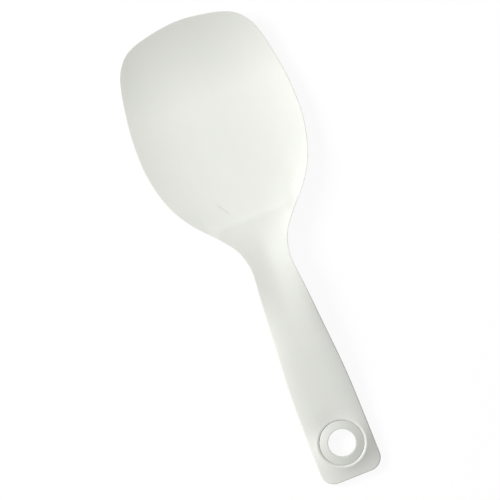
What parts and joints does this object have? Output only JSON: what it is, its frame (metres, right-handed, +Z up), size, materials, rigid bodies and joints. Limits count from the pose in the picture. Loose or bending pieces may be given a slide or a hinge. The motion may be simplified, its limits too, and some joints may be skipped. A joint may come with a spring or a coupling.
{
  "type": "rice paddle",
  "caption": "One-piece moulded rice paddle with a dished oval blade, an arched crowned handle and a snap-in ring round its hanging hole.",
  "frame": {"origin": "on the surface that the paddle lies on, under the middle of its box", "axes": "+Y along the paddle from the handle end to the blade tip, +X to the right seen from above, +Z up out of the scoop"},
  "size_m": [0.066, 0.19, 0.0107],
  "materials": {
    "body_plastic": "milky off-white moulded polypropylene, satin",
    "eyelet_plastic": "milky off-white moulded polypropylene, satin"
  },
  "bodies": {
    "root": {"paddle_body": "body_plastic", "hanging_eyelet": "eyelet_plastic"}
  },
  "joints": []
}
